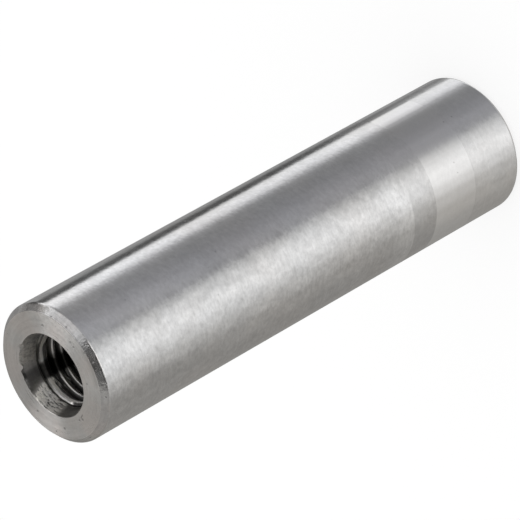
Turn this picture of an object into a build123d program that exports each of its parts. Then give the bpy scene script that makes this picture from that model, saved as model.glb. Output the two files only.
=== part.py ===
"""Dowel sleeve: a parallel steel dowel with a tapped pull-out hole in one end.

The dowel is one turned piece. It stands on its plain end, with the origin at the
centre of that end and +Z along its axis, so the tapped mouth is at the top.
Lengths are in millimetres and angles in degrees.
"""

import os
from math import radians, tan

from build123d import *

# Driving dimensions of the shank
dowel_diameter = 10.0
dowel_length = 40.5
plain_end_chamfer = 0.4
tapped_end_chamfer = 0.42

# Driving dimensions of the pull-out hole, with depths measured from the tapped end
thread_diameter = 6.0
thread_pitch = 0.75
core_depth = 16.0  # to the end of the full-diameter wall
drill_point_angle = 118.0
mouth_depth = 1.3  # unthreaded mouth, which flares out to the thread diameter
mouth_step = 0.15  # ledge between the foot of the mouth and the core
lead_in_angle = 60.0  # included angle of the cone on that ledge
lip_break = 0.05

# A metric internal thread reaches 5/8 of its sharp triangle's height inwards
core_diameter = thread_diameter - 2 * 5 / 8 * thread_pitch / 2 / tan(radians(30))
mouth_foot_diameter = core_diameter + 2 * mouth_step


def cone_height(large_diameter, small_diameter, included_angle):
    """Height of a cone between two of its diameters."""
    return (large_diameter - small_diameter) / 2 / tan(radians(included_angle / 2))


# Heights above the plain end
mouth_foot_z = dowel_length - mouth_depth
core_top_z = mouth_foot_z - cone_height(mouth_foot_diameter, core_diameter, lead_in_angle)
core_bottom_z = dowel_length - core_depth
drill_tip_z = core_bottom_z - cone_height(core_diameter, 0, drill_point_angle)

with BuildPart() as dowel_sleeve:
    # Ground shank, chamfered at both ends
    with BuildSketch():
        Circle(dowel_diameter / 2)
    extrude(amount=dowel_length)
    end_rims = dowel_sleeve.edges().group_by(Axis.Z)
    chamfer(end_rims[0], length=plain_end_chamfer)
    chamfer(end_rims[-1], length=tapped_end_chamfer)

    # Blind hole: drill point, core wall, lead-in cone and flared mouth
    with BuildSketch(Plane.XZ):
        with BuildLine():
            Polyline(
                (0, drill_tip_z),
                (core_diameter / 2, core_bottom_z),
                (core_diameter / 2, core_top_z),
                (mouth_foot_diameter / 2, mouth_foot_z),
                (thread_diameter / 2, dowel_length),
                (0, dowel_length),
                close=True,
            )
        make_face()
    revolve(axis=Axis.Z, mode=Mode.SUBTRACT)

    # Edge break round the lip of the mouth
    tapped_face = dowel_sleeve.faces().filter_by(GeomType.PLANE).sort_by(Axis.Z)[-1]
    lip = tapped_face.edges().sort_by(SortBy.RADIUS)[0]
    chamfer(lip, length=lip_break)

dowel_sleeve.part.label = "dowel_sleeve"

os.makedirs("parts", exist_ok=True)
export_step(dowel_sleeve.part, "parts/dowel_sleeve.step")
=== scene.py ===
from math import atan2, ceil, cos, exp, hypot, pi, radians, sin, tan

import bpy
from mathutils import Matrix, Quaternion, Vector


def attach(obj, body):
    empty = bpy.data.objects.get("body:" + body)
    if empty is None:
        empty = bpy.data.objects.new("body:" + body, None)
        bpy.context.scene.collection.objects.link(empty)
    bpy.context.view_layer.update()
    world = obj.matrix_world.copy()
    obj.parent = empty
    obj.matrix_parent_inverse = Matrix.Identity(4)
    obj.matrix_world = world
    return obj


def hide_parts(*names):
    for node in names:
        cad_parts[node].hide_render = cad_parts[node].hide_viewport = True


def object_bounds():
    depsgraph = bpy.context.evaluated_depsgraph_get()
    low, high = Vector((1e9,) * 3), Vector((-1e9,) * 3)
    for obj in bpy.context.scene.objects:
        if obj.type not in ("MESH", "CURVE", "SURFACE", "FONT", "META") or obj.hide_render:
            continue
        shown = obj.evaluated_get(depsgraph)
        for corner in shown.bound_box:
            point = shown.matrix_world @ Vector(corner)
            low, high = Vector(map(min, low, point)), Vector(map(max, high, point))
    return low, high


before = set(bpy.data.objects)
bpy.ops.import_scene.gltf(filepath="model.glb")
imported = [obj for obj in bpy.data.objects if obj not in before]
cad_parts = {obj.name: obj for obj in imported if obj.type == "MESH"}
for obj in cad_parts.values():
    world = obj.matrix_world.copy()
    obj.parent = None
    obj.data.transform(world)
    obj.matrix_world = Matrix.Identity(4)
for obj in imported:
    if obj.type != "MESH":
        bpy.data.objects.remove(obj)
cadLow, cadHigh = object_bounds()
print("frame loaded")

mm = 0.001
top = cadHigh.z
outerRadius = cadHigh.x


# small helpers for node trees: a value may be a number or another node's socket
def plug(tree, socket, value):
    if isinstance(value, bpy.types.NodeSocket):
        tree.links.new(value, socket)
    else:
        socket.default_value = value


def calc(tree, operation, *values):
    node = tree.nodes.new("ShaderNodeMath")
    node.operation = operation
    for socket, value in zip(node.inputs, values):
        plug(tree, socket, value)
    return node.outputs[0]


def plus(tree, total, *values):
    for value in values:
        total = calc(tree, "ADD", total, value)
    return total


def minus(tree, total, *values):
    for value in values:
        total = calc(tree, "SUBTRACT", total, value)
    return total


def times(tree, total, *values):
    for value in values:
        total = calc(tree, "MULTIPLY", total, value)
    return total


def without(tree, mask, share=1.0):
    # 1, less a share of the mask
    return minus(tree, 1.0, times(tree, mask, share))


def ease(tree, value, start, end, low=0.0, high=1.0):
    # a smooth step from low to high while value goes from start to end
    node = tree.nodes.new("ShaderNodeMapRange")
    node.interpolation_type = "SMOOTHSTEP"
    for name, amount in (("Value", value), ("From Min", start), ("From Max", end),
                         ("To Min", low), ("To Max", high)):
        plug(tree, node.inputs[name], amount)
    return node.outputs["Result"]


def between(tree, value, start, end, soft):
    # 1 from start to end, with soft edges outside them
    rise = ease(tree, value, start - soft, start)
    fall = ease(tree, value, end, end + soft, 1.0, 0.0)
    return times(tree, rise, fall)


def centred(tree, value, amount):
    # 1 plus or minus a share that goes with value
    return plus(tree, times(tree, minus(tree, value, 0.5), amount), 1.0)


def vector(tree, x, y, z):
    node = tree.nodes.new("ShaderNodeCombineXYZ")
    for socket, value in zip(node.inputs, (x, y, z)):
        plug(tree, socket, value)
    return node.outputs[0]


def split(tree, value):
    node = tree.nodes.new("ShaderNodeSeparateXYZ")
    plug(tree, node.inputs[0], value)
    return node.outputs


def fromAxis(tree, x, y):
    return calc(tree, "SQRT", plus(tree, times(tree, x, x), times(tree, y, y)))


def degreesRound(tree, x, y):
    # round the axis from the -Y side, towards +X
    return times(tree, calc(tree, "ARCTAN2", x, times(tree, y, -1.0)), 180 / pi)


def noise(tree, place, scale, detail, rough):
    node = tree.nodes.new("ShaderNodeTexNoise")
    for name, value in (("Vector", place), ("Scale", scale), ("Detail", detail), ("Roughness", rough)):
        plug(tree, node.inputs[name], value)
    return node.outputs["Fac"]


def blendColor(tree, share, first, second):
    node = tree.nodes.new("ShaderNodeMix")
    node.data_type = "RGBA"
    for index, value in ((0, share), (6, first), (7, second)):
        plug(tree, node.inputs[index], value)
    return node.outputs[2]


dowelShape = {
    "columns": 216,               # steps round the axis
    "plainChamfer": 0.40 * mm,
    "tappedChamfer": 0.42 * mm,
    "edgeRound": 0.05 * mm,
    "mouthRadius": 3.0 * mm,
    "mouthFoot": 2.744 * mm,
    "mouthDepth": 1.3 * mm,
    "ledgeDepth": 1.345 * mm,
    "lipBreak": 0.02 * mm,
    "coreRadius": 2.594 * mm,
    "coreDepth": 16.0 * mm,
    "drillPoint": radians(118),
    "closeRows": 4 * mm,          # rows lie closest down to this depth, where the thread is seen
    "bendSteps": 6,               # rows on each rounded corner
    "holdRow": 0.04 * mm,         # a row this close to each corner keeps its shading tight
    "weld": 0.0002 * mm,          # closer points are one point
    "mouthMargin": 0.04 * mm,     # the bore reaches this far past the mouth's radius
    "plainEndClear": 5 * mm,      # and its finish stays above this height
}

# the thread, keyed by the names of the inputs of its tree
thread = {
    "Pitch": 0.75 * mm,
    "Crest Depth": 2.20 * mm,     # of the first whole crest below the tapped end, on the -Y side
    "Run In": 0.25,               # turns over which the first groove grows to its full depth
    "Fade": 11.5 * mm,
    "End": 12.5 * mm,
    "Crest Wear": 0.09,           # how far the crests' corners are rounded, in pitches
}


def sectionCorners():
    s = dowelShape
    corePoint = top - s["coreDepth"] - s["coreRadius"] / tan(s["drillPoint"] / 2)
    # radius, height, rounding of the corner, and row spacing on the way to the next corner
    return [
        (0.0, 0.0, 0.0, 0.9 * mm),
        (outerRadius - s["plainChamfer"], 0.0, s["edgeRound"], 0.1 * mm),
        (outerRadius, s["plainChamfer"], 0.12 * mm, 1.6 * mm),
        (outerRadius, top - s["tappedChamfer"], 0.11 * mm, 0.06 * mm),
        (outerRadius - s["tappedChamfer"], top, 0.03 * mm, 0.15 * mm),
        (s["mouthRadius"] + s["lipBreak"], top, 0.008 * mm, 0.03 * mm),
        (s["mouthRadius"], top - s["lipBreak"], 0.008 * mm, 0.03 * mm),
        (s["mouthFoot"], top - s["mouthDepth"], 0.008 * mm, 0.025 * mm),
        (s["coreRadius"] + 0.006 * mm, top - s["ledgeDepth"], 0.13 * mm, 0.028 * mm),
        (s["coreRadius"], top - s["closeRows"], 0.0, 0.0625 * mm),
        (s["coreRadius"], top - thread["End"], 0.0, 0.9 * mm),
        (s["coreRadius"], top - s["coreDepth"], 0.1 * mm, 0.6 * mm),
        (0.0, corePoint, 0.0, 0.0),
    ]


def roundedCorner(before, here, after, reach):
    # a quadratic curve that starts and ends at the reach from the corner
    steps = dowelShape["bendSteps"]
    entry = here + (before - here).normalized() * reach
    leave = here + (after - here).normalized() * reach
    bend = []
    for step in range(1, steps + 1):
        share = step / steps
        bend.append(entry.lerp(here, share).lerp(here.lerp(leave, share), share))
    return entry, bend


def turnedSection():
    # the rows of the lathe, from the middle of the plain end round to the drill point
    corners = sectionCorners()
    hold = dowelShape["holdRow"]
    rows = [Vector(corners[0][:2])]
    for before, corner, after in zip(corners, corners[1:], corners[2:] + [None]):
        reach, spacing = corner[2], before[3]
        entry, bend = Vector(corner[:2]), []
        if after and reach:
            entry, bend = roundedCorner(Vector(before[:2]), entry, Vector(after[:2]), reach)
        start = rows[-1]
        length = (entry - start).length
        stops = []
        if length > 4 * hold:
            count = max(1, ceil((length - 2 * hold) / spacing))
            stops = [hold + (length - 2 * hold) * i / count for i in range(count + 1)]
        elif length > dowelShape["weld"] / 2:
            stops = [length / 2]
        rows += [start.lerp(entry, stop / length) for stop in stops]
        rows += [entry] + bend
    return rows


def sectionMesh(rows):
    mesh = bpy.data.meshes.new("dowelSection")
    mesh.from_pydata([(r, 0.0, z) for r, z in rows], [(i, i + 1) for i in range(len(rows) - 1)], [])
    return mesh


def wornRise(tree, flank, wear):
    # the flank's rise from the crest, with the corner between them rounded
    bent = calc(tree, "SQRT", plus(tree, times(tree, flank, flank), times(tree, wear, wear)))
    return times(tree, plus(tree, flank, bent), 0.5)


def threadDepth(tree, given, depth, turn):
    # the right-hand thread: grooves with straight flanks between flat crests with worn corners
    flankSlope = tan(radians(60))
    halfCrest = 1 / 8                     # half a crest's width, in pitches
    fullDepth = 5 / 8 * flankSlope / 2    # of a groove, in pitches
    turns = calc(tree, "DIVIDE", minus(tree, depth, given["Crest Depth"]), given["Pitch"])
    turns = plus(tree, turns, turn)
    offCrest = calc(tree, "ABSOLUTE", minus(tree, turns, calc(tree, "ROUND", turns)))
    flank = times(tree, minus(tree, offCrest, halfCrest), flankSlope)
    groove = minus(tree, wornRise(tree, flank, given["Crest Wear"]),
                   wornRise(tree, -halfCrest * flankSlope, given["Crest Wear"]))
    groove = times(tree, calc(tree, "MINIMUM", groove, fullDepth), given["Pitch"])
    along = minus(tree, plus(tree, calc(tree, "FLOOR", turns), 1.0), turn)
    return times(tree, groove, ease(tree, along, 0.0, given["Run In"]),
                 ease(tree, depth, given["Fade"], given["End"], 1.0, 0.0))


def turnedDowelTree(materials):
    tree = bpy.data.node_groups.new("turnedDowel", "GeometryNodeTree")
    sockets = tree.interface
    sockets.new_socket("Section", in_out="INPUT", socket_type="NodeSocketGeometry")
    sockets.new_socket("Columns", in_out="INPUT", socket_type="NodeSocketInt")
    for name in ("Height", "Core Radius", "Mouth Radius", *thread):
        sockets.new_socket(name, in_out="INPUT", socket_type="NodeSocketFloat")
    sockets.new_socket("Dowel", in_out="OUTPUT", socket_type="NodeSocketGeometry")
    given = tree.nodes.new("NodeGroupInput").outputs

    # one grid row for each point of the section, one column for each step round the axis
    size = tree.nodes.new("GeometryNodeAttributeDomainSize")
    plug(tree, size.inputs["Geometry"], given["Section"])
    rowCount = size.outputs["Point Count"]
    grid = tree.nodes.new("GeometryNodeMeshGrid")
    plug(tree, grid.inputs["Vertices X"], plus(tree, given["Columns"], 1))
    plug(tree, grid.inputs["Vertices Y"], rowCount)
    index = tree.nodes.new("GeometryNodeInputIndex").outputs[0]
    # the quarter keeps a column's first point out of the column before it
    column = calc(tree, "FLOOR", calc(tree, "DIVIDE", plus(tree, index, 0.25), rowCount))
    row = minus(tree, index, times(tree, column, rowCount))
    pick = tree.nodes.new("GeometryNodeSampleIndex")
    pick.data_type = "FLOAT_VECTOR"
    plug(tree, pick.inputs["Geometry"], given["Section"])
    plug(tree, pick.inputs["Value"], tree.nodes.new("GeometryNodeInputPosition").outputs[0])
    plug(tree, pick.inputs["Index"], row)
    radius, _, height = split(tree, pick.outputs[0])
    turn = calc(tree, "DIVIDE", column, given["Columns"])

    depth = minus(tree, given["Height"], height)
    cut = plus(tree, given["Core Radius"], threadDepth(tree, given, depth, turn))
    cut = calc(tree, "MAXIMUM", radius, cut)
    inBore = times(tree, calc(tree, "LESS_THAN", radius, given["Mouth Radius"]),
                   calc(tree, "LESS_THAN", depth, given["End"]))
    radius = plus(tree, radius, times(tree, inBore, minus(tree, cut, radius)))

    angle = times(tree, turn, 2 * pi)
    place = tree.nodes.new("GeometryNodeSetPosition")
    plug(tree, place.inputs["Geometry"], grid.outputs["Mesh"])
    plug(tree, place.inputs["Position"], vector(
        tree, times(tree, radius, calc(tree, "SINE", angle)),
        times(tree, radius, times(tree, calc(tree, "COSINE", angle), -1.0)), height))
    close = tree.nodes.new("GeometryNodeMergeByDistance")
    plug(tree, close.inputs["Geometry"], place.outputs[0])
    plug(tree, close.inputs["Distance"], dowelShape["weld"])
    smooth = tree.nodes.new("GeometryNodeSetShadeSmooth")
    plug(tree, smooth.inputs["Geometry"], close.outputs[0])

    # the finish of each face goes by where its middle lies
    x, y, z = split(tree, tree.nodes.new("GeometryNodeInputPosition").outputs[0])
    spread = fromAxis(tree, x, y)
    inside = times(tree, calc(tree, "LESS_THAN", spread, given["Mouth Radius"]),
                   calc(tree, "GREATER_THAN", z, dowelShape["plainEndClear"]))
    outside = times(tree, calc(tree, "GREATER_THAN", z, dowelShape["plainChamfer"]),
                    calc(tree, "LESS_THAN", z, top - dowelShape["tappedChamfer"]),
                    calc(tree, "GREATER_THAN", spread, given["Mouth Radius"]))
    shape = smooth.outputs[0]
    for finish, where in (("turned", None), ("ground", outside), ("bore", inside)):
        paint = tree.nodes.new("GeometryNodeSetMaterial")
        plug(tree, paint.inputs["Geometry"], shape)
        if where:
            plug(tree, paint.inputs["Selection"], where)
        paint.inputs["Material"].default_value = materials[finish]
        shape = paint.outputs[0]
    real = tree.nodes.new("GeometryNodeRealizeInstances")
    plug(tree, real.inputs[0], shape)
    plug(tree, tree.nodes.new("NodeGroupOutput").inputs[0], real.outputs[0])
    return tree


lip = {
    "reach": 0.22 * mm,           # how far down the mouth wall the raggedness goes
    "spread": 0.3 * mm,           # and how far out on the end face, or in from the mouth's radius
    "from": 118, "to": 200,       # degrees round from the -Y side
    "fade": 12,                   # degrees in which it starts and stops
    "wander": 0.03 * mm,
    "waves": ((0.3, 17), (0.4, 37), (0.5, 61)),      # share of the wander, and waves in a whole turn
    # place round the lip, half width in degrees, outward depth
    "nicks": [(0, 75, -0.045 * mm), (120, 4, 0.2 * mm), (134, 6, 0.05 * mm), (143, 3.5, 0.06 * mm),
              (150.5, 3, -0.25 * mm), (157.5, 2.5, 0.07 * mm), (170, 6, 0.04 * mm),
              (-163, 2, 0.04 * mm), (-148, 2, 0.03 * mm)],
}


def lipOffset(degrees):
    # how far the lip stands outside its true circle
    inRun = min((degrees - lip["from"]) / lip["fade"], (lip["to"] - degrees) / lip["fade"], 1.0)
    waves = sum(share * sin(radians(degrees) * count + count) for share, count in lip["waves"])
    offset = max(0.0, inRun) * lip["wander"] * waves
    for middle, half, deep in lip["nicks"]:
        away = ((degrees - middle + 180) % 360 - 180) / half
        offset += deep * exp(-away * away)
    return offset


def chipLip(mesh):
    for vertex in mesh.vertices:
        x, y, z = vertex.co
        spread = hypot(x, y)
        down = top - z
        out = spread - dowelShape["mouthRadius"] - dowelShape["lipBreak"]
        if abs(out) < lip["spread"] and down < lip["reach"]:
            near = (1 - down / lip["reach"]) ** 2 * (1 - max(0.0, out / lip["spread"]))
            turned = atan2(x, -y) * 180 / pi % 360
            scale = 1 + near * lipOffset(turned) / spread
            vertex.co = (x * scale, y * scale, z)


def dropEmptySlots(mesh):
    used = [material for material in mesh.materials if material]
    places = [used.index(mesh.materials[face.material_index]) for face in mesh.polygons]
    mesh.materials.clear()
    for material in used:
        mesh.materials.append(material)
    mesh.polygons.foreach_set("material_index", places)


def makeDowel(materials):
    carrier = bpy.data.objects.new("dowelCarrier", sectionMesh(turnedSection()))
    bpy.context.scene.collection.objects.link(carrier)
    tree = turnedDowelTree(materials)
    lathe = carrier.modifiers.new("turned", "NODES")
    lathe.node_group = tree
    values = {"Columns": dowelShape["columns"], "Height": top, "Core Radius": dowelShape["coreRadius"],
              "Mouth Radius": dowelShape["mouthRadius"] + dowelShape["mouthMargin"], **thread}
    for item in tree.interface.items_tree:
        if item.in_out == "INPUT" and item.name in values:
            lathe[item.identifier] = values[item.name]
    graph = bpy.context.evaluated_depsgraph_get()
    mesh = bpy.data.meshes.new_from_object(carrier.evaluated_get(graph))
    mesh.name = "dowelSleeve"
    bpy.data.objects.remove(carrier)
    chipLip(mesh)
    dropEmptySlots(mesh)
    piece = bpy.data.objects.new("dowelSleeve", mesh)
    bpy.context.scene.collection.objects.link(piece)
    triangles = sum(len(face.vertices) - 2 for face in mesh.polygons)
    print("dowel:", len(mesh.vertices), "vertices,", triangles, "triangles,",
          [material.name for material in mesh.materials])
    return piece


# steel finishes: three node groups that they share, then one material each, with lengths in mm
def newGroup(name, inputs, outputs):
    tree = bpy.data.node_groups.new(name, "ShaderNodeTree")
    for label, kind, value in inputs:
        socket = tree.interface.new_socket(label, in_out="INPUT", socket_type="NodeSocket" + kind)
        if value is not None:
            socket.default_value = value
    for label, kind in outputs:
        tree.interface.new_socket(label, in_out="OUTPUT", socket_type="NodeSocket" + kind)
    return tree, tree.nodes.new("NodeGroupInput").outputs, tree.nodes.new("NodeGroupOutput").inputs


def ringMarksGroup():
    # tool marks that run round the axis: fine across them, long the other way
    tree, given, out = newGroup("ringMarks", [
        ("Position", "Vector", None), ("Across", "Float", 0.0), ("Pitch", "Float", 0.1),
        ("Reach", "Float", 3.0), ("Seed", "Float", 0.0)], [("Fine", "Float"), ("Broad", "Float")])
    x, y, _ = split(tree, given["Position"])
    for label, wide, far, detail in (("Fine", 1.0, 1.0, 3.0), ("Broad", 5.0, 2.2, 2.0)):
        pitch = times(tree, given["Pitch"], wide)
        reach = times(tree, given["Reach"], far)
        place = vector(tree, plus(tree, calc(tree, "DIVIDE", x, reach), given["Seed"]),
                       calc(tree, "DIVIDE", y, reach), calc(tree, "DIVIDE", given["Across"], pitch))
        plug(tree, out[label], noise(tree, place, 1.0, detail, 0.6))
    return tree


def steelSpecksGroup():
    # small dark pits, scattered: a share of the cells has one each, of uneven size
    tree, given, out = newGroup("steelSpecks", [
        ("Position", "Vector", None), ("Spacing", "Float", 1.0), ("Size", "Float", 0.05),
        ("Share", "Float", 0.5)], [("Speck", "Float")])
    scale = tree.nodes.new("ShaderNodeVectorMath")
    scale.operation = "DIVIDE"
    plug(tree, scale.inputs[0], given["Position"])
    plug(tree, scale.inputs[1], vector(tree, given["Spacing"], given["Spacing"], given["Spacing"]))
    cells = tree.nodes.new("ShaderNodeTexVoronoi")
    plug(tree, cells.inputs["Vector"], scale.outputs[0])
    cells.inputs["Scale"].default_value = 1.0
    reach = times(tree, cells.outputs["Distance"], given["Spacing"])
    pick = split(tree, cells.outputs["Color"])
    size = times(tree, given["Size"], plus(tree, 0.4, pick[1]))
    near = ease(tree, calc(tree, "DIVIDE", reach, size), 0.6, 1.0, 1.0, 0.0)
    plug(tree, out["Speck"], times(tree, near, calc(tree, "LESS_THAN", pick[0], given["Share"])))
    return tree


def steelToneGroup():
    # a warm and a cool steel, mixed in large soft clouds
    tree, given, out = newGroup("steelTone", [
        ("Position", "Vector", None), ("Cloud", "Float", 4.0), ("Warm", "Color", (0.63, 0.61, 0.585, 1)),
        ("Cool", "Color", (0.61, 0.615, 0.62, 1))], [("Color", "Color")])
    cloud = noise(tree, given["Position"], calc(tree, "DIVIDE", 1.0, given["Cloud"]), 2.0, 0.5)
    plug(tree, out["Color"], blendColor(tree, ease(tree, cloud, 0.35, 0.65), given["Warm"], given["Cool"]))
    return tree


def useGroup(tree, group, **values):
    node = tree.nodes.new("ShaderNodeGroup")
    node.node_tree = group
    for name, value in values.items():
        plug(tree, node.inputs[name], value)
    return node.outputs


def steelBase(name, finish):
    # the shader that every steel finish shares, with the position in mm
    material = bpy.data.materials.new(name)
    material.use_nodes = True
    tree = material.node_tree
    shader = tree.nodes["Principled BSDF"]
    shader.inputs["Metallic"].default_value = 1.0
    shader.inputs["Roughness"].default_value = finish["roughness"]
    shader.inputs["Anisotropic"].default_value = finish["anisotropy"]
    shader.inputs["Anisotropic Rotation"].default_value = 0.25     # the marks run round the axis
    tangent = tree.nodes.new("ShaderNodeTangent")
    tangent.direction_type = "RADIAL"
    tangent.axis = "Z"
    tree.links.new(tangent.outputs[0], shader.inputs["Tangent"])
    scale = tree.nodes.new("ShaderNodeVectorMath")
    scale.operation = "SCALE"
    scale.inputs["Scale"].default_value = 1 / mm
    tree.links.new(tree.nodes.new("ShaderNodeTexCoord").outputs["Object"], scale.inputs[0])
    return material, tree, shader, scale.outputs[0]


def bumpTo(tree, shader, height, depth):
    bump = tree.nodes.new("ShaderNodeBump")
    bump.inputs["Strength"].default_value = 1.0
    bump.inputs["Distance"].default_value = depth
    plug(tree, bump.inputs["Height"], height)
    tree.links.new(bump.outputs[0], shader.inputs["Normal"])


brightest = 1.59       # keeps every base colour below 1


def shade(tree, color, *factors):
    node = tree.nodes.new("ShaderNodeVectorMath")
    node.operation = "SCALE"
    plug(tree, node.inputs[0], color)
    plug(tree, node.inputs["Scale"], calc(tree, "MINIMUM", times(tree, *factors), brightest))
    return node.outputs[0]


def addSectors(tree, level, around, paintedSectors, *masks):
    # a sector is its two ends and its softness in degrees, then how much brighter the steel is there, as
    # painted light, with painted shade where that is below 0
    for start, end, soft, gain in paintedSectors:
        level = plus(tree, level, times(tree, between(tree, around, start, end, soft), *masks, gain))
    return level


groundFinish = {
    "roughness": 0.16,
    "anisotropy": 0.5,
    "tone": {"Cloud": 6.0, "Warm": (0.606, 0.600, 0.594, 1.0), "Cool": (0.598, 0.600, 0.602, 1.0)},
    "dapple": {"Pitch": 0.26, "Reach": 0.4},           # size of the dapples, along and round the dowel
    "lines": {"Pitch": 0.09, "Reach": 4.0, "Seed": 5.0},     # spacing and length of the grinding lines
    "specks": {"Spacing": 0.9, "Size": 0.06, "Share": 0.3},
    "speckDark": 0.28, "speckDeep": 0.8,
    "lineDeep": 0.1,
    "bumpDepth": 0.008 * mm,
    # heights where the grinding wheel changed its bite, and how sharp they are
    "bandEdges": (4.71, 8.79, 10.97), "bandSoft": 0.06,
    # next to the dull band a painted highlight brightens the steel: how far above it that fades, and
    # how it changes with the degrees round
    "besideFade": (0.4, 3.0), "besideTurn": (-26, -6, 1.35, 0.35),
    # stretches in degrees round from the -Y side, with their softness
    "fine": (13, 40, 5.0),                  # ground finer, so the bands and marks hardly show there
    "calm": (42, 66, 7.0), "lower": (-100, -50, 14.0),       # and these show them less
    # the last stretch is the lit side, where light is painted on the bands near the plain end
    "evened": (46, 66, 5.0), "paintedLitSide": (-120, -46, 16.0),
    # how much less the marks show on each band and stretch
    "quiet": {"brightBand": 0.75, "plainEnd": 0.45, "dullBand": 0.3, "fine": 0.65, "calm": 0.3,
              "lower": 0.28},
    "marked": 1.3,                          # how strongly they show elsewhere
    # how much the dapples, their clouds and the lines change the tone
    "dappleTone": 0.5, "cloudTone": 0.32, "lineTone": 0.15,
    # how much brighter each part is, partly its own finish and partly painted light, and how much of that
    # is lost on two of the stretches
    "sideGain": 0.17, "endGain": 0.09, "bandGain": 0.175, "besideGain": 0.15,
    "evenedCut": 0.7, "fineCut": 0.75,
    # how far below the tapped end the sectors of painted sheen and shade near it start and are whole
    "topFrom": 13.0, "topWhole": 6.0,
    "paintedTopSectors": [(-50, -39, 7, -0.13), (-85, -68, 8, 0.08), (12, 75, 6, 0.1), (14, 26, 5, 0.05),
                   (80, 100, 6, 0.2)],
    # unevenness of the roughness, and how much smoother two of the bands are
    "fray": 1.6, "dappleFray": 0.8, "calmFray": 0.5, "bandSmooth": 0.07, "endSmooth": 0.02,
}


def groundSteel(groups):
    s = groundFinish
    material, tree, shader, place = steelBase("groundSteel", s)
    x, y, z = split(tree, place)
    around = degreesRound(tree, x, y)
    dapple = useGroup(tree, groups["marks"], Position=place, Across=z, **s["dapple"])
    lines = useGroup(tree, groups["marks"], Position=place, Across=z, **s["lines"])
    specks = useGroup(tree, groups["specks"], Position=place, **s["specks"])["Speck"]
    tone = useGroup(tree, groups["tone"], Position=place, **s["tone"])["Color"]
    soft = s["bandSoft"]
    lowEdge, midEdge, highEdge = s["bandEdges"]
    plainEnd = ease(tree, z, lowEdge - soft, lowEdge + soft, 1.0, 0.0)
    brightBand = between(tree, z, lowEdge + soft, midEdge - soft, soft)
    dullBand = between(tree, z, midEdge + soft, highEdge - soft, soft)
    fadeFrom, fadeTo = s["besideFade"]
    # a painted highlight next to the dull band, on the lit side
    besideHighlight = times(tree, ease(tree, z, highEdge - soft, highEdge + soft),
                   ease(tree, z, highEdge + fadeFrom, highEdge + fadeTo, 1.0, 0.0),
                   ease(tree, around, *s["besideTurn"]))
    fine = between(tree, around, *s["fine"])
    calm = between(tree, around, *s["calm"])
    lower = between(tree, around, *s["lower"])
    # how strongly the marks show
    less = s["quiet"]
    marked = minus(tree, without(tree, brightBand, less["brightBand"]),
                   times(tree, plainEnd, less["plainEnd"]), times(tree, dullBand, less["dullBand"]))
    marked = times(tree, marked, minus(tree, s["marked"], times(tree, fine, less["fine"])),
                   without(tree, calm, less["calm"]), without(tree, lower, less["lower"]))
    # how bright the steel is: the bands' own finish and painted light, with more painted light on the lit
    # side and next to the dull band
    evened = between(tree, around, *s["evened"])
    # painted light on the lit side of the bands near the plain end
    paintedLitSide = times(tree, between(tree, around, *s["paintedLitSide"]), plus(tree, plainEnd, brightBand))
    bands = plus(tree, times(tree, paintedLitSide, s["sideGain"]),
                 times(tree, plainEnd, without(tree, evened), s["endGain"]),
                 times(tree, brightBand, without(tree, evened, s["evenedCut"]), s["bandGain"]),
                 times(tree, besideHighlight, s["besideGain"]))
    level = plus(tree, 1.0, times(tree, bands, without(tree, fine, s["fineCut"])))
    nearTop = ease(tree, z, top / mm - s["topFrom"], top / mm - s["topWhole"])
    # painted sheen and shade in sectors near the tapped end
    level = addSectors(tree, level, around, s["paintedTopSectors"], nearTop)
    color = shade(tree, tone, centred(tree, dapple["Fine"], times(tree, marked, s["dappleTone"])),
                  centred(tree, dapple["Broad"], times(tree, marked, s["cloudTone"])),
                  centred(tree, lines["Fine"], times(tree, marked, s["lineTone"])),
                  without(tree, specks, s["speckDark"]), level)
    tree.links.new(color, shader.inputs["Base Color"])
    # the grinding left some rings duller than others, which frays the edges of what the steel mirrors
    fray = without(tree, calm, s["calmFray"])
    rough = times(tree, s["roughness"], centred(tree, lines["Broad"], times(tree, fray, s["fray"])),
                  centred(tree, dapple["Fine"], times(tree, fray, s["dappleFray"])))
    rough = minus(tree, rough, times(tree, brightBand, s["bandSmooth"]),
                  times(tree, plainEnd, s["endSmooth"]))
    tree.links.new(rough, shader.inputs["Roughness"])
    height = times(tree, plus(tree, dapple["Fine"], times(tree, lines["Fine"], s["lineDeep"])), marked)
    bumpTo(tree, shader, minus(tree, height, times(tree, specks, s["speckDeep"])), s["bumpDepth"])
    return material


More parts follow.
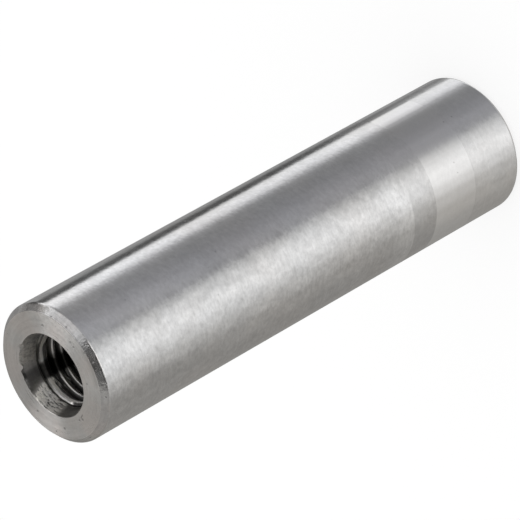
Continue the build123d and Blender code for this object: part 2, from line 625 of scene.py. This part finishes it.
turnedFinish = {
    "roughness": 0.3,
    "anisotropy": 0.9,
    "tone": {"Cloud": 2.0, "Warm": (0.616, 0.590, 0.574, 1.0), "Cool": (0.590, 0.588, 0.582, 1.0)},
    "marks": {"Pitch": 0.16, "Reach": 2.2, "Seed": 3.0},     # spacing and length of the turning marks
    "dapple": {"Pitch": 0.3, "Reach": 0.3, "Seed": 1.0},
    "specks": {"Spacing": 0.6, "Size": 0.1},
    "speckShare": 0.45, "moreSpecks": 0.45,      # on the whole, and added where it is mottled
    "speckDark": 0.4, "speckDeep": 2.0,
    "bumpDepth": 0.008 * mm,
    # radii and heights where the tapped end's chamfer begins, and radii where its flat ends
    "chamferFrom": (4.5, 4.65), "chamferAbove": (30.0, 31.0), "flatTo": (4.87, 4.92),
    # stretches in degrees round from the -Y side, with their softness
    # the corner stretch and the rim stretch are painted shade
    "mottled": (16, 62, 9.0), "scuff": (66, 82, 8.0), "shadedCorner": (-26, 8, 5.0), "rimShade": (-24, 2, 8.0),
    "scratch": (-80, -75, 1.5), "scratchRadii": (2.56, 2.59, 0.05), "scratchSlope": 0.01,
    # the edge line is painted shade over the highlight on the face's outer edge
    "rimRadii": (4.4, 4.5, 0.35), "edgeLineRadii": (4.54, 4.62, 0.03),
    # how much darker each of them is
    "scuffDark": 0.1, "scratchDark": 0.45, "cornerDark": 0.14, "rimDark": 0.24, "edgeLineDark": 0.22,
    # sectors of painted highlight, and of painted shade where the gain is below 0, round the axis
    "paintedSectors": [(-25, 8, 22, 0.17), (26, 52, 16, 0.25), (-154, -128, 14, 0.2), (85, 165, 14, -0.06),
                (-170, -152, 9, -0.08), (-108, -58, 12, -0.05)],
    # on the chamfer: painted highlights on its flat alone, and painted dark reflections on its rounded
    # edge too
    "flatHighlights": [(-26, -17, 5, 0.45), (-2, 4, 5, 0.48), (67, 72, 4, 0.2), (-90, -80, 8, 0.14)],
    "chamferShade": [(10, 14, 4, -0.28), (18, 44, 6, -0.34), (77, 82, 4, -0.2)],
    # how much the marks, their clouds and the blotches change the tone
    "markTone": 0.36, "cloudTone": 0.28, "blotchTone": 0.25, "chamferBlotch": 0.15, "mottledBlotch": 0.35,
    "markRough": 0.6, "chamferSmooth": 0.4,      # unevenness of the roughness, and how much is lost
    # heights of the marks' clouds and of the chamfer's lumps, and how much flatter its marks are
    "cloudDeep": 2.0, "lumpDeep": 2.4, "chamferFlat": 0.6,
}


def turnedSteel(groups):
    s = turnedFinish
    material, tree, shader, place = steelBase("turnedSteel", s)
    x, y, z = split(tree, place)
    spread = fromAxis(tree, x, y)
    around = degreesRound(tree, x, y)
    marks = useGroup(tree, groups["marks"], Position=place, Across=spread, **s["marks"])
    dapple = useGroup(tree, groups["marks"], Position=place, Across=z, **s["dapple"])
    mottled = between(tree, around, *s["mottled"])
    share = plus(tree, s["speckShare"], times(tree, mottled, s["moreSpecks"]))
    specks = useGroup(tree, groups["specks"], Position=place, Share=share, **s["specks"])["Speck"]
    tone = useGroup(tree, groups["tone"], Position=place, **s["tone"])["Color"]
    chamfer = times(tree, ease(tree, spread, *s["chamferFrom"]), ease(tree, z, *s["chamferAbove"]))
    flat = times(tree, chamfer, ease(tree, spread, *s["flatTo"], 1.0, 0.0))
    scuff = times(tree, between(tree, around, *s["scuff"]), chamfer)
    slanted = plus(tree, spread, times(tree, around, s["scratchSlope"]))
    scratch = times(tree, between(tree, around, *s["scratch"]), between(tree, slanted, *s["scratchRadii"]))
    # painted shade on the chamfer's rounded edge and on the face's rim
    corner = times(tree, between(tree, around, *s["shadedCorner"]), minus(tree, chamfer, flat))
    rimShade = times(tree, between(tree, around, *s["rimShade"]), between(tree, spread, *s["rimRadii"]),
                without(tree, chamfer))
    # painted shade that dims the highlight on the face's outer edge
    edgeLineShade = times(tree, between(tree, spread, *s["edgeLineRadii"]), mottled)
    level = minus(tree, 1.0, times(tree, scuff, s["scuffDark"]), times(tree, scratch, s["scratchDark"]),
                  times(tree, corner, s["cornerDark"]), times(tree, rimShade, s["rimDark"]),
                  times(tree, edgeLineShade, s["edgeLineDark"]))
    # painted highlight and shade in sectors round the axis
    level = addSectors(tree, level, around, s["paintedSectors"])
    # painted highlights on the chamfer's flat, and painted dark reflections on the whole chamfer
    level = addSectors(tree, level, around, s["flatHighlights"], flat)
    level = addSectors(tree, level, around, s["chamferShade"], chamfer)
    blotch = plus(tree, s["blotchTone"], times(tree, chamfer, s["chamferBlotch"]),
                  times(tree, mottled, s["mottledBlotch"]))
    color = shade(tree, tone, centred(tree, marks["Fine"], s["markTone"]),
                  centred(tree, marks["Broad"], s["cloudTone"]), centred(tree, dapple["Fine"], blotch),
                  without(tree, specks, s["speckDark"]), level)
    tree.links.new(color, shader.inputs["Base Color"])
    rough = times(tree, s["roughness"], centred(tree, marks["Fine"], s["markRough"]),
                  without(tree, chamfer, s["chamferSmooth"]))
    tree.links.new(rough, shader.inputs["Roughness"])
    height = times(tree, plus(tree, marks["Fine"], times(tree, marks["Broad"], s["cloudDeep"])),
                   without(tree, chamfer, s["chamferFlat"]))
    height = plus(tree, height, times(tree, dapple["Fine"], s["lumpDeep"], chamfer))
    bumpTo(tree, shader, minus(tree, height, times(tree, specks, s["speckDeep"])), s["bumpDepth"])
    return material


boreFinish = {
    "roughness": 0.36,
    "anisotropy": 0.4,
    "tone": {"Cloud": 1.5, "Warm": (0.628, 0.609, 0.572, 1.0), "Cool": (0.611, 0.600, 0.588, 1.0)},
    "marks": {"Pitch": 0.12, "Reach": 1.0, "Seed": 7.0},
    "dashes": {"Pitch": 0.13, "Reach": 0.3, "Seed": 9.0},
    "dapple": {"Pitch": 0.3, "Reach": 0.2, "Seed": 2.0},
    "stripes": {"Pitch": 3.5, "Reach": 0.9, "Seed": 4.0},    # spacing in degrees, they run down the wall
    "specks": {"Spacing": 0.5, "Size": 0.05, "Share": 0.4},
    "bumpDepth": 0.02 * mm,
    # stretches of the mouth's wall, in degrees from the +Y side towards -X, with their softness
    # the tool-marked stretch carries a painted highlight, the two smooth ones painted dark reflections,
    # and the last a streak of painted shade
    "stretches": {"toolMarksAndSheen": (7, 47, 8.0), "smooth": (-15, -8, 19.0), "mottled": (-85, -34, 6.0),
                  "farSmoothShade": (59, 90, 10.0), "shadeStreak": (-19, -2, 9.0)},
    "ragged": 9.0,                          # how far their edges wander, in degrees
    # some edges slant: where, and by how many degrees from the lip down
    "slantTurn": (2, 12, 12.0), "slant": (0.0, 1.1, 8.0, 0.0),
    "mouthTo": (1.2, 1.26),                 # depths where the mouth's own finish ends
    "marksFade": (18, 56, 1.0, 0.35),       # the tool marks and their painted sheen weaken over these degrees
    # how much brighter each stretch is: painted highlight on the tool marks, painted dark reflections on
    # the two smooth stretches, and the least that is left of the tone
    "gains": {"toolMarksAndSheen": 0.42, "smooth": -0.8, "mottled": 0.06, "farSmoothShade": -0.5}, "darkest": 0.12,
    # painted shade in the thread: how far the thread climbs over some degrees, and the depths where
    # the shade starts and where the first groove lies
    "climbTurn": (-46, -66, 0.0, 0.4), "shadeFrom": (1.56, 1.7), "firstGroove": (1.64, 1.9, 0.08),
    "flankRadii": (2.62, 2.70), "flankDark": 0.85,
    "scoredTurn": (3, 26, 4.0), "scoredMarks": (0.5, 0.64), "scoredClean": 0.8,
    "thickFrom": (1.2, 1.3), "thickDark": 0.9, "deepShade": (3.2, 6.0, 1.0, 0.2),
    # the painted shadow line at the foot of the mouth: its depths, and how it moves and wanders
    "foot": (1.19, 1.28, 0.05), "footTurn": (-20, -70, 0.0, 0.2), "footWander": 0.009, "footDark": 0.75,
    # the rows of dashes: spacing, slope, and how bright each dash and row is
    "dashRows": 0.18, "rowSlope": 0.002, "dashTone": (0.4, 0.6, -0.7, 1.5), "rowTone": 0.45,
    "dashedTurn": (22, 30, 0.55, 1.0), "stripeTone": 1.6,
    # how much the marks, spots and specks change the tone
    "markTone": 0.5, "spotTone": 0.5, "mottledSpots": 1.1, "speckDark": 0.5,
    # a painted glint at a burr, painted shade on the ledge's bright line, and painted light below it on
    # the left and on the collar, where the crests shine unevenly
    "burrTurn": (55, 57, 1.5), "burrDepth": (1.32, 1.48, 0.04), "burrGain": 1.1,
    "ledge": (1.28, 1.44, 0.04), "ledgeFar": (58, 62, 0.0, 0.6), "ledgeNear": (28, 10, 0.32, 0.62),
    "chippedTurn": (-62, -16, 6.0), "chippedDepth": (0.08, 0.3, 0.2, 0.0),
    "leftTurn": (-24, -32), "leftDepth": (1.38, 1.5, 0.0, 0.8),
    "collar": (1.45, 1.85, 0.1), "collarTone": 2.0,
    # what is added to the roughness, how uneven it is, and heights of the bump
    "marksRough": 0.1, "collarRough": 0.25, "chippedRough": 1.6, "unevenRough": 0.4,
    "ridgeDeep": 2.5, "lumpDeep": 0.2, "mottledDeep": 1.0,
}


def boreSteel(groups):
    s = boreFinish
    material, tree, shader, place = steelBase("boreSteel", s)
    x, y, z = split(tree, place)
    spread = fromAxis(tree, x, y)
    depth = minus(tree, top / mm, z)
    around = times(tree, calc(tree, "ARCTAN2", times(tree, x, -1.0), y), 180 / pi)
    marks = useGroup(tree, groups["marks"], Position=place, Across=z, **s["marks"])
    dashes = useGroup(tree, groups["marks"], Position=place, Across=z, **s["dashes"])
    dapple = useGroup(tree, groups["marks"], Position=place, Across=z, **s["dapple"])
    stripes = useGroup(tree, groups["marks"], Position=vector(tree, depth, 0.0, 0.0), Across=around,
                       **s["stripes"])
    specks = useGroup(tree, groups["specks"], Position=place, **s["specks"])["Speck"]
    tone = useGroup(tree, groups["tone"], Position=place, **s["tone"])["Color"]
    # each stretch of the wall has ragged edges, and begins later near the lip than at the foot
    wander = times(tree, minus(tree, dapple["Broad"], 0.5), s["ragged"])
    slant = times(tree, between(tree, around, *s["slantTurn"]), ease(tree, depth, *s["slant"]))
    where = minus(tree, plus(tree, around, wander), slant)
    part = {name: between(tree, where, *stretch) for name, stretch in s["stretches"].items()}
    onMouth = ease(tree, depth, *s["mouthTo"], 1.0, 0.0)
    shadeStreak = part.pop("shadeStreak")
    part = {name: times(tree, stretch, onMouth) for name, stretch in part.items()}
    part["toolMarksAndSheen"] = times(tree, part["toolMarksAndSheen"], ease(tree, where, *s["marksFade"]))
    toolMarksAndSheen, mottled = part["toolMarksAndSheen"], part["mottled"]

    # how bright the steel is: painted highlights and dark reflections on the mouth's wall, and more
    # painted light and shade below it
    level = plus(tree, 1.0, *(times(tree, part[name], gain) for name, gain in s["gains"].items()))
    # a painted glint where a burr stands
    burrGlint = times(tree, between(tree, around, *s["burrTurn"]), between(tree, depth, *s["burrDepth"]))
    ledge = between(tree, depth, *s["ledge"])
    chipped = times(tree, between(tree, around, *s["chippedTurn"]), ease(tree, depth, *s["chippedDepth"]))
    collar = between(tree, depth, *s["collar"])
    level = plus(tree, level, times(tree, burrGlint, s["burrGain"]))
    # painted shade dims the ledge's bright line on its far side and its near side
    level = minus(tree, level, times(tree, ledge, ease(tree, around, *s["ledgeFar"])),
                  times(tree, ledge, ease(tree, around, *s["ledgeNear"])), chipped)
    # painted light on the left below the ledge, and uneven painted light on the collar
    level = plus(tree, level,
                 times(tree, ease(tree, around, *s["leftTurn"]), ease(tree, depth, *s["leftDepth"])),
                 times(tree, collar, centred(tree, dapple["Fine"], s["collarTone"])))
    level = calc(tree, "MAXIMUM", level, s["darkest"])

    # below the mouth, painted shade darkens the grooves' flanks, the hole further down, and a thick streak
    # down one side
    helical = minus(tree, depth, ease(tree, around, *s["climbTurn"]))
    inGroove = calc(tree, "MAXIMUM", ease(tree, spread, *s["flankRadii"]),
                    between(tree, helical, *s["firstGroove"]))
    scored = times(tree, between(tree, around, *s["scoredTurn"]),
                   ease(tree, marks["Fine"], *s["scoredMarks"]))
    # painted shade on the grooves' flanks, less where the marks score them
    shadedFlanks = times(tree, ease(tree, helical, *s["shadeFrom"]), inGroove,
                   minus(tree, s["flankDark"], times(tree, scored, s["scoredClean"])))
    # a thick streak of painted shade down one side
    thick = times(tree, shadeStreak, ease(tree, depth, *s["thickFrom"]))
    # a line of painted shadow at the foot of the mouth
    sunk = minus(tree, depth, ease(tree, around, *s["footTurn"]))
    foot = between(tree, plus(tree, sunk, times(tree, wander, s["footWander"])), *s["foot"])
    # all the painted shade in the bore, which darkens further down the hole
    boreShade = times(tree, without(tree, shadedFlanks), without(tree, thick, s["thickDark"]),
                ease(tree, depth, *s["deepShade"]), without(tree, foot, s["footDark"]))

    # the drill left rows of short dashes, and their glints are painted bright
    rows = plus(tree, depth, times(tree, around, s["rowSlope"]))
    rows = calc(tree, "SINE", times(tree, rows, 2 * pi / s["dashRows"]))
    dash = plus(tree, ease(tree, dashes["Fine"], *s["dashTone"]), times(tree, rows, s["rowTone"]))
    dashed = times(tree, toolMarksAndSheen, ease(tree, where, *s["dashedTurn"]))
    dashTone = times(tree, plus(tree, 1.0, times(tree, dash, dashed)),
                     centred(tree, stripes["Fine"], times(tree, toolMarksAndSheen, s["stripeTone"])))

    spots = plus(tree, s["spotTone"], times(tree, mottled, s["mottledSpots"]))
    pits = without(tree, specks, times(tree, mottled, s["speckDark"]))
    color = shade(tree, tone, dashTone, centred(tree, marks["Fine"], s["markTone"]),
                  centred(tree, dapple["Fine"], spots), pits, boreShade, level)
    tree.links.new(color, shader.inputs["Base Color"])
    rough = plus(tree, s["roughness"], times(tree, toolMarksAndSheen, s["marksRough"]),
                 times(tree, collar, s["collarRough"]), times(tree, chipped, s["chippedRough"]))
    rough = times(tree, rough, centred(tree, marks["Broad"], s["unevenRough"]))
    tree.links.new(rough, shader.inputs["Roughness"])
    ridges = times(tree, dashes["Fine"], toolMarksAndSheen, s["ridgeDeep"])
    lumps = times(tree, dapple["Fine"], plus(tree, s["lumpDeep"], times(tree, mottled, s["mottledDeep"])))
    bumpTo(tree, shader, plus(tree, ridges, lumps), s["bumpDepth"])
    return material


# the studio: what the steel mirrors, then the floor, the soft light and the camera
cardRing = {
    "radius": 30 * mm,
    "low": -60 * mm, "high": 45 * mm,
    "sides": 180,
    # azimuth in degrees from the camera's side, brightness of the cards there, and how warm they are
    "stops": [(-180, 0.34, 0.5), (-158, 0.285, 0.8), (-146, 0.31, 1.0), (-130, 0.32, 1.0),
              (-112, 0.35, 1.0), (-82, 0.44, 1.0), (-59, 0.64, 0.6), (-44, 0.88, 0.2), (-30, 1.14, 0.0),
              (-18, 1.20, 0.0), (-8, 1.08, 0.0), (0, 0.93, 0.0), (7, 0.765, 0.0), (11, 0.63, -0.2),
              (15, 0.50, -0.4), (19, 0.455, -0.7), (32, 0.425, -1.0), (44, 0.36, -1.0), (57, 0.32, -0.8),
              (70, 0.32, -0.5), (77, 0.36, -0.4), (84, 0.53, -0.5), (92, 0.98, -0.4), (99, 1.20, -0.4),
              (115, 1.19, 0.0), (125, 1.02, 0.0), (132, 0.55, 0.0), (138, 0.34, 0.0), (152, 0.36, 0.0),
              (160, 0.30, 0.2), (180, 0.34, 0.5)],
    # one dark card in front of them, which leans by some degrees for each mm above a height
    "darkFrom": 119, "darkTo": 129.5, "darkRise": 7, "darkFall": 14, "darkShade": 0.105,
    "lean": 0.26, "leanFrom": -11 * mm,
    "darkClimb": (-26 * mm, -4 * mm, 0.6, 1.0),      # it is weaker low down
    "strength": 2.0,                         # the ramp holds 0 to 1, so it is halved and doubled
}


def warmed(amount):
    # a tint from cool, -1, to warm, 1
    return (1 + 0.032 * max(0.0, amount), 1.0, 1 - 0.05 * amount)


def ringMaterial():
    s = cardRing
    material = bpy.data.materials.new("studioCards")
    material.use_nodes = True
    tree = material.node_tree
    tree.nodes.clear()
    x, y, z = split(tree, tree.nodes.new("ShaderNodeTexCoord").outputs["Object"])
    azimuth = degreesRound(tree, x, y)
    ramp = tree.nodes.new("ShaderNodeValToRGB")
    ramp.color_ramp.interpolation = "EASE"
    steps = ramp.color_ramp.elements
    while len(steps) < len(s["stops"]):
        steps.new(0.5)
    for step, (where, bright, warm) in zip(steps, s["stops"]):
        step.position = (where + 180) / 360
        step.color = (*(Vector(warmed(warm)) * bright / s["strength"]), 1)
    plug(tree, ramp.inputs[0], calc(tree, "DIVIDE", plus(tree, azimuth, 180.0), 360.0))
    climb = calc(tree, "MAXIMUM", z, s["leanFrom"])
    leaning = plus(tree, azimuth, times(tree, climb, s["lean"] / mm))
    dark = times(tree, ease(tree, leaning, s["darkFrom"] - s["darkRise"], s["darkFrom"]),
                 ease(tree, leaning, s["darkTo"], s["darkTo"] + s["darkFall"], 1.0, 0.0),
                 ease(tree, z, *s["darkClimb"]))
    shown = blendColor(tree, dark, ramp.outputs[0], (s["darkShade"] / s["strength"],) * 3 + (1,))
    glow = tree.nodes.new("ShaderNodeEmission")
    glow.inputs["Strength"].default_value = s["strength"]
    tree.links.new(shown, glow.inputs["Color"])
    tree.links.new(glow.outputs[0], tree.nodes.new("ShaderNodeOutputMaterial").inputs["Surface"])
    return material


def makeRing():
    s = cardRing
    points, faces = [], []
    for i in range(s["sides"]):
        a = 2 * pi * i / s["sides"]
        points += [(s["radius"] * sin(a), -s["radius"] * cos(a), z) for z in (s["low"], s["high"])]
        j = (i + 1) % s["sides"]
        faces.append((2 * i, 2 * j, 2 * j + 1, 2 * i + 1))
    mesh = bpy.data.meshes.new("cardRing")
    mesh.from_pydata(points, [], faces)
    mesh.materials.append(ringMaterial())
    ring = bpy.data.objects.new("cardRing", mesh)
    bpy.context.scene.collection.objects.link(ring)
    # only the metal sees the cards
    for kind in ("camera", "diffuse", "transmission", "volume_scatter", "shadow"):
        setattr(ring, "visible_" + kind, False)


floorFinish = {
    "half": 3.0,                # half its width
    "litGrey": 0.8,             # what light falls on
    "seenGrey": 0.3, "seenGlow": 0.77,      # what is seen: white in the open, with a faint shadow
}


def makeFloor():
    s = floorFinish
    material = bpy.data.materials.new("paleFloor")
    material.use_nodes = True
    tree = material.node_tree
    tree.nodes.clear()
    lit = tree.nodes.new("ShaderNodeBsdfDiffuse")
    lit.inputs["Color"].default_value = (s["litGrey"],) * 3 + (1,)
    faint = tree.nodes.new("ShaderNodeBsdfDiffuse")
    faint.inputs["Color"].default_value = (s["seenGrey"],) * 3 + (1,)
    white = tree.nodes.new("ShaderNodeEmission")
    white.inputs["Strength"].default_value = s["seenGlow"]
    seen = tree.nodes.new("ShaderNodeAddShader")
    tree.links.new(faint.outputs[0], seen.inputs[0])
    tree.links.new(white.outputs[0], seen.inputs[1])
    path = tree.nodes.new("ShaderNodeLightPath").outputs
    looked = calc(tree, "MAXIMUM", path["Is Camera Ray"], path["Is Glossy Ray"])
    looked = calc(tree, "MAXIMUM", looked, path["Is Transmission Ray"])
    mix = tree.nodes.new("ShaderNodeMixShader")
    tree.links.new(looked, mix.inputs[0])
    tree.links.new(lit.outputs[0], mix.inputs[1])
    tree.links.new(seen.outputs[0], mix.inputs[2])
    tree.links.new(mix.outputs[0], tree.nodes.new("ShaderNodeOutputMaterial").inputs["Surface"])
    half = s["half"]
    mesh = bpy.data.meshes.new("floor")
    mesh.from_pydata([(-half, -half, 0), (half, -half, 0), (half, half, 0), (-half, half, 0)], [],
                     [(0, 1, 2, 3)])
    mesh.materials.append(material)
    floor = bpy.data.objects.new("floor", mesh)
    bpy.context.scene.collection.objects.link(floor)
    floor.visible_glossy = False          # the cards stand in front of it


sky = {
    "shade": 0.40, "warmth": 0.5,         # what the metal sees between the panels
    "plain": (0.8, 0.8, 0.8, 1),          # what lights the floor
    # azimuth and height of the middle, half sizes and softness in degrees, then brightness and warmth
    "panels": [(-18, 58, 40, 24, 13, 0.065, 0.0), (-10, 19, 26, 5, 3, 2.3, 0.0),
               (62, 42, 34, 22, 10, 0.82, -0.3), (130, 12, 12, 12, 10, 0.25, 0.0),
               (126, 60, 24, 14, 14, 1.5, -0.5), (180, 38, 26, 14, 12, 0.47, 0.8),
               (0, 90, 180, 8, 12, 0.12, 0.0), (0, -78, 180, 14, 4, 0.62, 0.0)],
}


def makeWorld():
    world = bpy.data.worlds.new("studio")
    bpy.context.scene.world = world
    world.use_nodes = True
    tree = world.node_tree
    tree.nodes.clear()
    x, y, z = split(tree, tree.nodes.new("ShaderNodeTexCoord").outputs["Generated"])
    azimuth = degreesRound(tree, x, y)
    climb = times(tree, calc(tree, "ARCSINE", z), 180 / pi)
    light = (*(Vector(warmed(sky["warmth"])) * sky["shade"]), 1)
    for middle, height, halfWide, halfHigh, soft, bright, warm in sky["panels"]:
        # degrees away from the panel's middle, the short way round
        turn = plus(tree, minus(tree, azimuth, middle), 540.0)
        off = calc(tree, "ABSOLUTE", minus(tree, calc(tree, "MODULO", turn, 360.0), 180.0))
        up = calc(tree, "ABSOLUTE", minus(tree, climb, height))
        panel = times(tree, ease(tree, off, halfWide, halfWide + soft, 1.0, 0.0),
                      ease(tree, up, halfHigh, halfHigh + soft, 1.0, 0.0))
        light = blendColor(tree, panel, light, (*(Vector(warmed(warm)) * bright), 1))
    path = tree.nodes.new("ShaderNodeLightPath").outputs
    plain = blendColor(tree, path["Is Camera Ray"], sky["plain"], (1, 1, 1, 1))
    glow = tree.nodes.new("ShaderNodeBackground")
    tree.links.new(blendColor(tree, path["Is Glossy Ray"], plain, light), glow.inputs["Color"])
    tree.links.new(glow.outputs[0], tree.nodes.new("ShaderNodeOutputWorld").inputs["Surface"])
    print("sky made with", len(sky["panels"]), "panels")


view = {
    "lens": 315.0,
    "sensor": 36.0,
    "clip": (0.01, 10.0),
    "aim": (-0.1 * mm, 0.0, 21.08 * mm),
    "distance": 307.14 * mm,
    "azimuth": radians(0.02),
    "elevation": radians(37.19),
    "roll": radians(-119.375),
}


def makeCamera():
    data = bpy.data.cameras.new("camera")
    data.lens = view["lens"]
    data.sensor_width = view["sensor"]
    data.clip_start, data.clip_end = view["clip"]
    camera = bpy.data.objects.new("camera", data)
    bpy.context.scene.collection.objects.link(camera)
    a, e = view["azimuth"], view["elevation"]
    back = Vector((sin(a) * cos(e), -cos(a) * cos(e), sin(e)))
    camera.location = Vector(view["aim"]) + back * view["distance"]
    camera.rotation_mode = "QUATERNION"
    camera.rotation_quaternion = (-back).to_track_quat("-Z", "Y") @ Quaternion((0, 0, 1), view["roll"])
    bpy.context.scene.camera = camera


groups = {"marks": ringMarksGroup(), "specks": steelSpecksGroup(), "tone": steelToneGroup()}
materials = {"ground": groundSteel(groups), "turned": turnedSteel(groups), "bore": boreSteel(groups)}
print("materials made")
dowelPiece = makeDowel(materials)
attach(dowelPiece, "root")
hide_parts("dowel_sleeve")
makeRing()
makeFloor()
makeWorld()
makeCamera()
bpy.context.scene.view_settings.view_transform = "Standard"
print("studio made")
